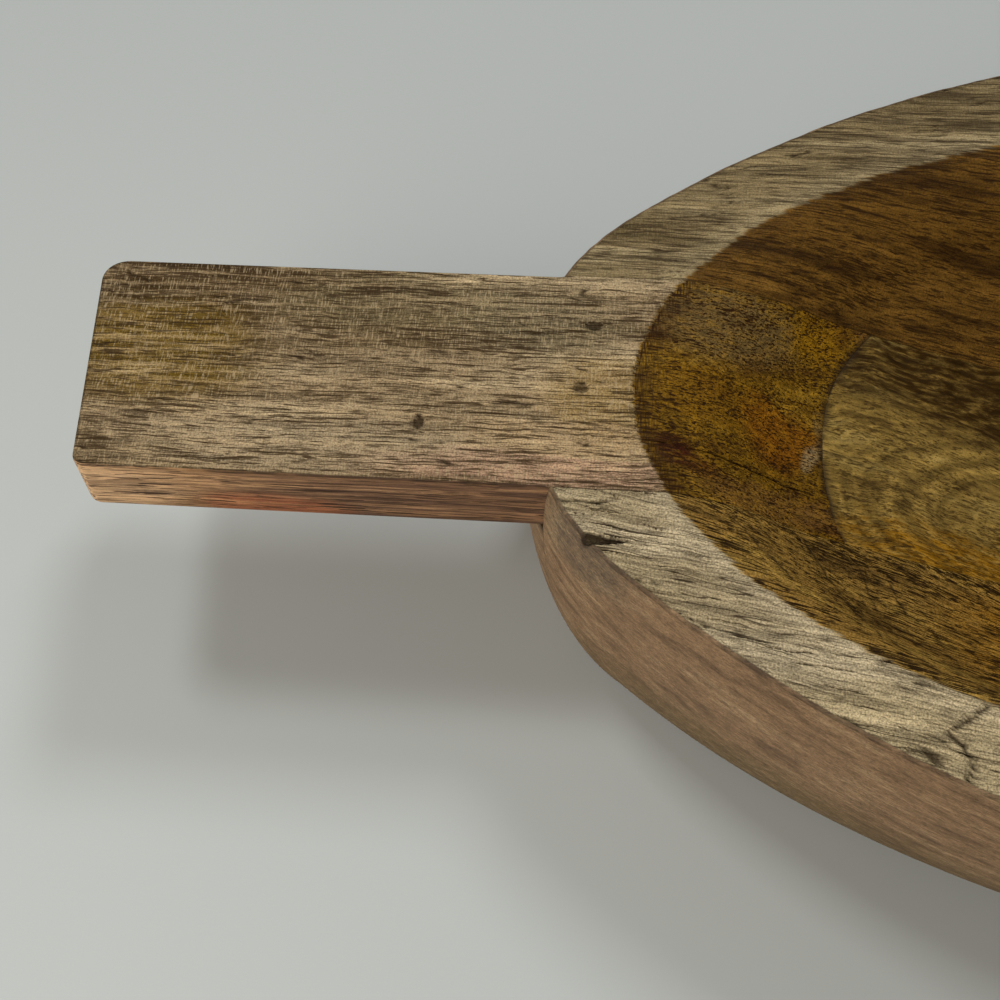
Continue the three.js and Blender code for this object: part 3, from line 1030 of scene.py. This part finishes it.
def wood(name, dry, oiled=None, **finish):
    """One timber with one finish, or two that meet at the oiled edge. Tones: dark, body, pale, pore."""
    look = {**PLAIN_WOOD, **finish}
    material = bpy.data.materials.new(name)
    material.use_nodes = True
    tree = material.node_tree
    shader = tree.nodes["Principled BSDF"]
    shader.inputs["Specular IOR Level"].default_value = look["gloss"]
    shader.inputs["Roughness"].default_value = look["roughness"]
    place = add(tree, "TexCoord", out="Object")
    spot = add(tree, "Mapping", {"Vector": place, "Scale": (1 / MM,) * 3})
    layer, drift = grain_layers(tree, spot, look)
    add_brushing(tree, spot, layer)
    add_rings(tree, spot, drift, layer, look["heart"])
    mask = grain_masks(tree, layer, look)

    tones = [linear(tone) for tone in dry]
    oil = dryness = 1.0
    if oiled:
        oil = oil_share(tree, layer)
        tones = [
            add(tree, "Mix", {0: oil, 6: tone, 7: linear(wet)}, data_type="RGBA", out=2)
            for tone, wet in zip(tones, oiled)
        ]
        shine = {0: oil, 3: look["roughness"], 4: OILED_ROUGHNESS}
        tree.links.new(add(tree, "MapRange", shine), shader.inputs["Roughness"])
        dryness = add(tree, "Math", {0: 1.0, 1: oil}, operation="SUBTRACT")
        boost = add(tree, "MapRange", {0: oil, 3: 1.0, 4: look["oiled_ticks"]})
        for key, share in (("ray", dryness), ("pore", boost), ("vessel", boost), ("lens", boost)):
            mask[key] = add(tree, "Math", {0: mask[key], 1: share}, operation="MULTIPLY", use_clamp=True)
    dark, body, pale, pore = tones

    color = body
    for key, tone in (("pale", pale), ("dark", dark)):
        color = add(tree, "Mix", {0: mask[key], 6: color, 7: tone}, data_type="RGBA", out=2)
    # A painted highlight: the dry rim is paler in a band near the mouth.
    if look["pale_lip"]:
        rim = add(tree, "Attribute", attribute_name="rim", out="Fac")
        low, high = LIP_HIGHLIGHT_BAND
        highlight = add(
            tree, "MapRange", {0: rim, 1: low, 2: high, 3: 0.0, 4: look["pale_lip"]},
            interpolation_type="SMOOTHSTEP",
        )
        highlight = add(tree, "Math", {0: highlight, 1: dryness}, operation="MULTIPLY")
        color = add(tree, "Mix", {0: highlight, 6: color, 7: pale}, data_type="RGBA", out=2)
    shares = {"stains": dryness, "oiled_stains": oil}
    color = lay_stains(tree, color, spot, drift, layer, look, shares)
    low, high = SHADE_EDGES
    for key, depth in (("band", look["bands"]), ("grit", look["grit"]), ("ring", look["rings"])):
        shade = add(tree, "MapRange", {0: layer[key], 1: low, 2: high, 3: 1 - depth, 4: 1 + depth})
        color = add(
            tree, "Mix", {0: 1.0, 6: color, 7: shade}, data_type="RGBA", blend_type="MULTIPLY", out=2
        )

    # Painted shade just under the lip of the oiled hollow, broken up by the cross-grain weave.
    mask["lip"] = add(tree, "Attribute", attribute_name="lip", out="Fac")
    low, high = WEAVE_EDGES
    least = WEAVE_LEAST * look["lip_dark"]
    weave = add(tree, "MapRange", {0: layer["ray"], 1: low, 2: high, 3: least, 4: look["lip_dark"]})
    for share in (weave, oil):
        mask["lip"] = add(tree, "Math", {0: mask["lip"], 1: share}, operation="MULTIPLY")
    # Dark marks, and the painted shade along the edges, as stored on the points.
    marks_and_edge_shade = add(tree, "Attribute", attribute_name="marks_and_edge_shade", out="Fac")
    mask["marks_and_edge_shade"] = add(tree, "Math", {0: marks_and_edge_shade, 1: MARK_AND_EDGE_SHADE_DARK}, operation="MULTIPLY")
    for key, tone in (
        ("ray", pale), ("lip", pore), ("lens", pore), ("vessel", pore), ("pore", pore), ("check", pore),
        ("marks_and_edge_shade", linear(MARK_AND_EDGE_SHADE_TONE)),
    ):
        color = add(tree, "Mix", {0: mask[key], 6: color, 7: tone}, data_type="RGBA", out=2)
    tree.links.new(color, shader.inputs["Base Color"])

    raised = add(tree, "Math", {0: layer["band"], 1: layer["grit"]}, operation="ADD")
    for key in ("pore", "vessel", "check"):
        raised = add(tree, "Math", {0: raised, 1: mask[key]}, operation="SUBTRACT")
    bump = {"Height": raised, "Strength": look["relief"], "Distance": RELIEF_DEPTH}
    tree.links.new(add(tree, "Bump", bump), shader.inputs["Normal"])
    return material


print("settings of a finish:", len(PLAIN_WOOD))

# %% [markdown]
# Each block has its own part of the trunk, so its pattern is shifted and its grain leans its own way. The
# stains lie where the photograph shows them, mostly at the left end. The right end is the plain timber.

# %% Stains of the blocks
HANDLE_STAINS = (  # middle and reach in mm, tone, strength
    ((-236, 18, 58), (44, 13, 10), "#503E26", 1.0),
    ((-200, 17, 58), (34, 11, 10), "#736546", 0.7),
    ((-172, 13, 58), (22, 12, 10), "#766A4E", 0.7),
    ((-247, 3, 58), (30, 17, 10), "#70571C", 1.0),
    ((-160, -5, 58), (16, 14, 8), "#967840", 0.7),
    ((-165, -16, 58), (28, 8, 8), "#C4A478", 0.6),
    ((-172, -22, 58), (44, 5.5, 8), "#C69E7E", 0.8),
    ((-215, -18, 58), (44, 9, 8), "#AE9A7A", 0.5),
)
BOARD_STAINS = (
    ((-136, 17, 54), (24, 12, 14), "#725A30", 1.0),
    ((-140, 0, 54), (15, 10, 9), "#7C560C", 0.8),
    ((-126, -4, 48), (12, 10, 9), "#88520C", 0.9),
    ((-115.5, 20, 48), (9, 6, 7), "#8A620C", 0.9),
    ((-106, 23, 45.5), (6, 4, 6), "#74502F", 0.7),
    ((-128, -21, 50), (26, 6, 14), "#7C5828", 0.8),
    ((-146.5, -15.6, 57), (6.0, 5.0, 5), "#320D04", 1.0),
    ((-142.0, -17.6, 55), (7.0, 3.6, 5), "#4C2208", 0.8),
    ((-119.6, 2, 45.5), (2.2, 6, 3.5), "#7A6644", 0.6),
    ((-119.6, -6.3, 45.5), (2.4, 6, 4), "#8E7A56", 0.9),
)
CENTER_STAINS = (
    ((-60, 21, 30), (130, 18, 40), "#3A2608", 1.0),
    ((-60, -29, 30), (130, 17, 40), "#946610", 1.0),
)
SIDE_STAINS = (
    ((-188, -25, 50), (58, 9, 18), "#72523C", 1.0),
    ((-260, -25, 50), (27, 9, 14), "#E2B88A", 0.95),
    ((-222, -25, 46), (18, 9, 6), "#B06640", 0.8),
)
FRONT_STAINS = (
    ((-104, -72, 58), (34, 18, 8), "#BEAA80", 0.55),
)
FRONT_SLOPE_STAINS = (
    ((-58, -46, 36), (52, 30, 30), "#A06C14", 0.85),
)
FRONT_WALL_STAINS = (
    ((-165, -37, 54), (18, 18, 14), "#625646", 0.75),
    ((-100, -62, 4), (120, 60, 32), "#64522E", 0.8),
    ((-168.5, -26.5, 50), (5, 5, 10), "#A08A66", 0.6),
)
print("stains on the left board:", len(HANDLE_STAINS + BOARD_STAINS))

# %% Materials of the blocks
# Wire-brushed and left dry, the board is grey brown with dark ticks and pale cross scratches. Below the lip
# the oil makes it a deep yellow brown with dark dots, and a strong painted shade darkens it just under the
# lip.
handle_top = wood(
    "handle_brushed_mango", ("#6A583C", "#927C5C", "#B49D78", "#3A2A17"),
    ("#4D300B", "#755410", "#8A671B", "#301B06"), rays=0.6, grit=0.46, bands=0.46, lenses=0.15, checks=0.5,
    pores=0.75, vessels=0.85, oiled_ticks=1.2, lip_dark=1.0, stain_streak=5.0, stains=HANDLE_STAINS,
    oiled_stains=BOARD_STAINS,
)
# Sanded along the grain, the board's edge is a reddish brown with long dark streaks and a slight sheen.
handle_side = wood(
    "handle_sanded_mango", ("#7A5638", "#A67C52", "#C09468", "#3A2412"), pores=0.6, vessels=0.95, grit=0.08,
    bands=0.4, lenses=0.5, stretch=1.8, roughness=0.6, gloss=0.2, relief=0.15, stains=SIDE_STAINS,
)
# Brushed lightly, the back rim is streaky and dull. Oiled, its slope is a dark warm brown with long streaks.
back_top = wood(
    "back_brushed_mango", ("#665639", "#897653", "#A6936D", "#36291A"),
    ("#432C0D", "#674819", "#785622", "#2A1806"), shift=(40, 60, 0), rays=0.2, grit=0.34, checks=0.25,
    pores=0.7, vessels=0.65, lenses=0.5, bands=0.36, stretch=1.3, deep=3.5, oiled_ticks=1.1, pale_lip=0.6,
)
# Brushed hard, the front rim is pale, gritty and full of fine cracks. Oiled, its slope is a golden brown.
front_top = wood(
    "front_brushed_mango", ("#807052", "#A49270", "#BCAA88", "#3C2F1E"),
    ("#644A20", "#926F32", "#A4823C", "#2C1C08"), shift=(90, 20, 7), lean=11.0, sway=4.0, rays=0.15,
    grit=0.48, checks=0.9, pores=0.45, vessels=0.35, lenses=0.2, bands=0.36, deep=2.5, oiled_ticks=2.4,
    pale_lip=0.6, relief=0.9, stains=FRONT_STAINS, oiled_stains=FRONT_SLOPE_STAINS,
)
# Oiled all over, the centre is an olive brown with rings cut to arcs, dark at the back and golden in front.
center_inside = wood(
    "center_oiled_mango", ("#6E5628", "#8C7036", "#987E44", "#33220C"), shift=(10, 130, 3), sway=7.0,
    grit=0.18, heart=(-14, 12), rings=0.27, bands=0.4, lenses=0.5, pores=0.7, vessels=0.65, stretch=1.2,
    deep=2.0, roughness=0.5, relief=0.2, stains=CENTER_STAINS,
)
# Sanded round the curve of the wall, all blocks are an even pinkish brown with faint streaks and some sheen.
SANDED = ("#745A40", "#907252", "#A28562", "#3A2C1C")
sanded_finish = dict(
    pores=0.3, vessels=0.45, grit=0.12, bands=0.32, lenses=0.2, stretch=1.5, deep=0.4, roughness=0.6,
    gloss=0.2, relief=0.1,
)
back_side = wood("back_sanded_mango", SANDED, shift=(40, 60, 0), **sanded_finish)
front_side = wood(
    "front_sanded_mango", SANDED, shift=(90, 20, 7), stains=FRONT_WALL_STAINS, **sanded_finish
)
center_side = wood("center_sanded_mango", SANDED, shift=(10, 130, 3), **sanded_finish)
print("materials:", len(bpy.data.materials))

# %% [markdown]
# ## Put the pieces in place
# Each mesh is scaled to metres and shaded smooth except at its sharp edges. It stands in for one solid,
# which is hidden, rides on the bowl's one body, and gets the materials of its finish.

# %% Finish the pieces
SHARP_ANGLE = math.radians(42)


def place_piece(name, shape, node, materials):
    bmesh.ops.scale(shape, vec=(MM, MM, MM), verts=shape.verts)
    for key in ("facing", "lane"):
        shape.verts.layers.float.remove(shape.verts.layers.float[key])
    mesh = bpy.data.meshes.new(name)
    shape.to_mesh(mesh)
    shape.free()
    mesh.shade_smooth()
    mesh.set_sharp_from_angle(angle=SHARP_ANGLE)
    for material in materials:
        mesh.materials.append(material)
    piece = bpy.data.objects.new(name, mesh)
    scene.collection.objects.link(piece)
    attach(piece, "root")
    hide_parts(node)
    mesh.calc_loop_triangles()
    print(name, len(mesh.loop_triangles), "triangles")
    return piece


place_piece("carved_back_block", back_block, "side_block_back", [back_side, back_top])
place_piece("carved_front_block", front_block, "side_block_front", [front_side, front_top])
place_piece("carved_center_block", center_block, "center_block", [center_side, center_inside])
place_piece("left_handle", left_board, "handle_board_left", [handle_side, handle_top])
place_piece("right_handle", right_board, "handle_board_right", [handle_side, handle_top])
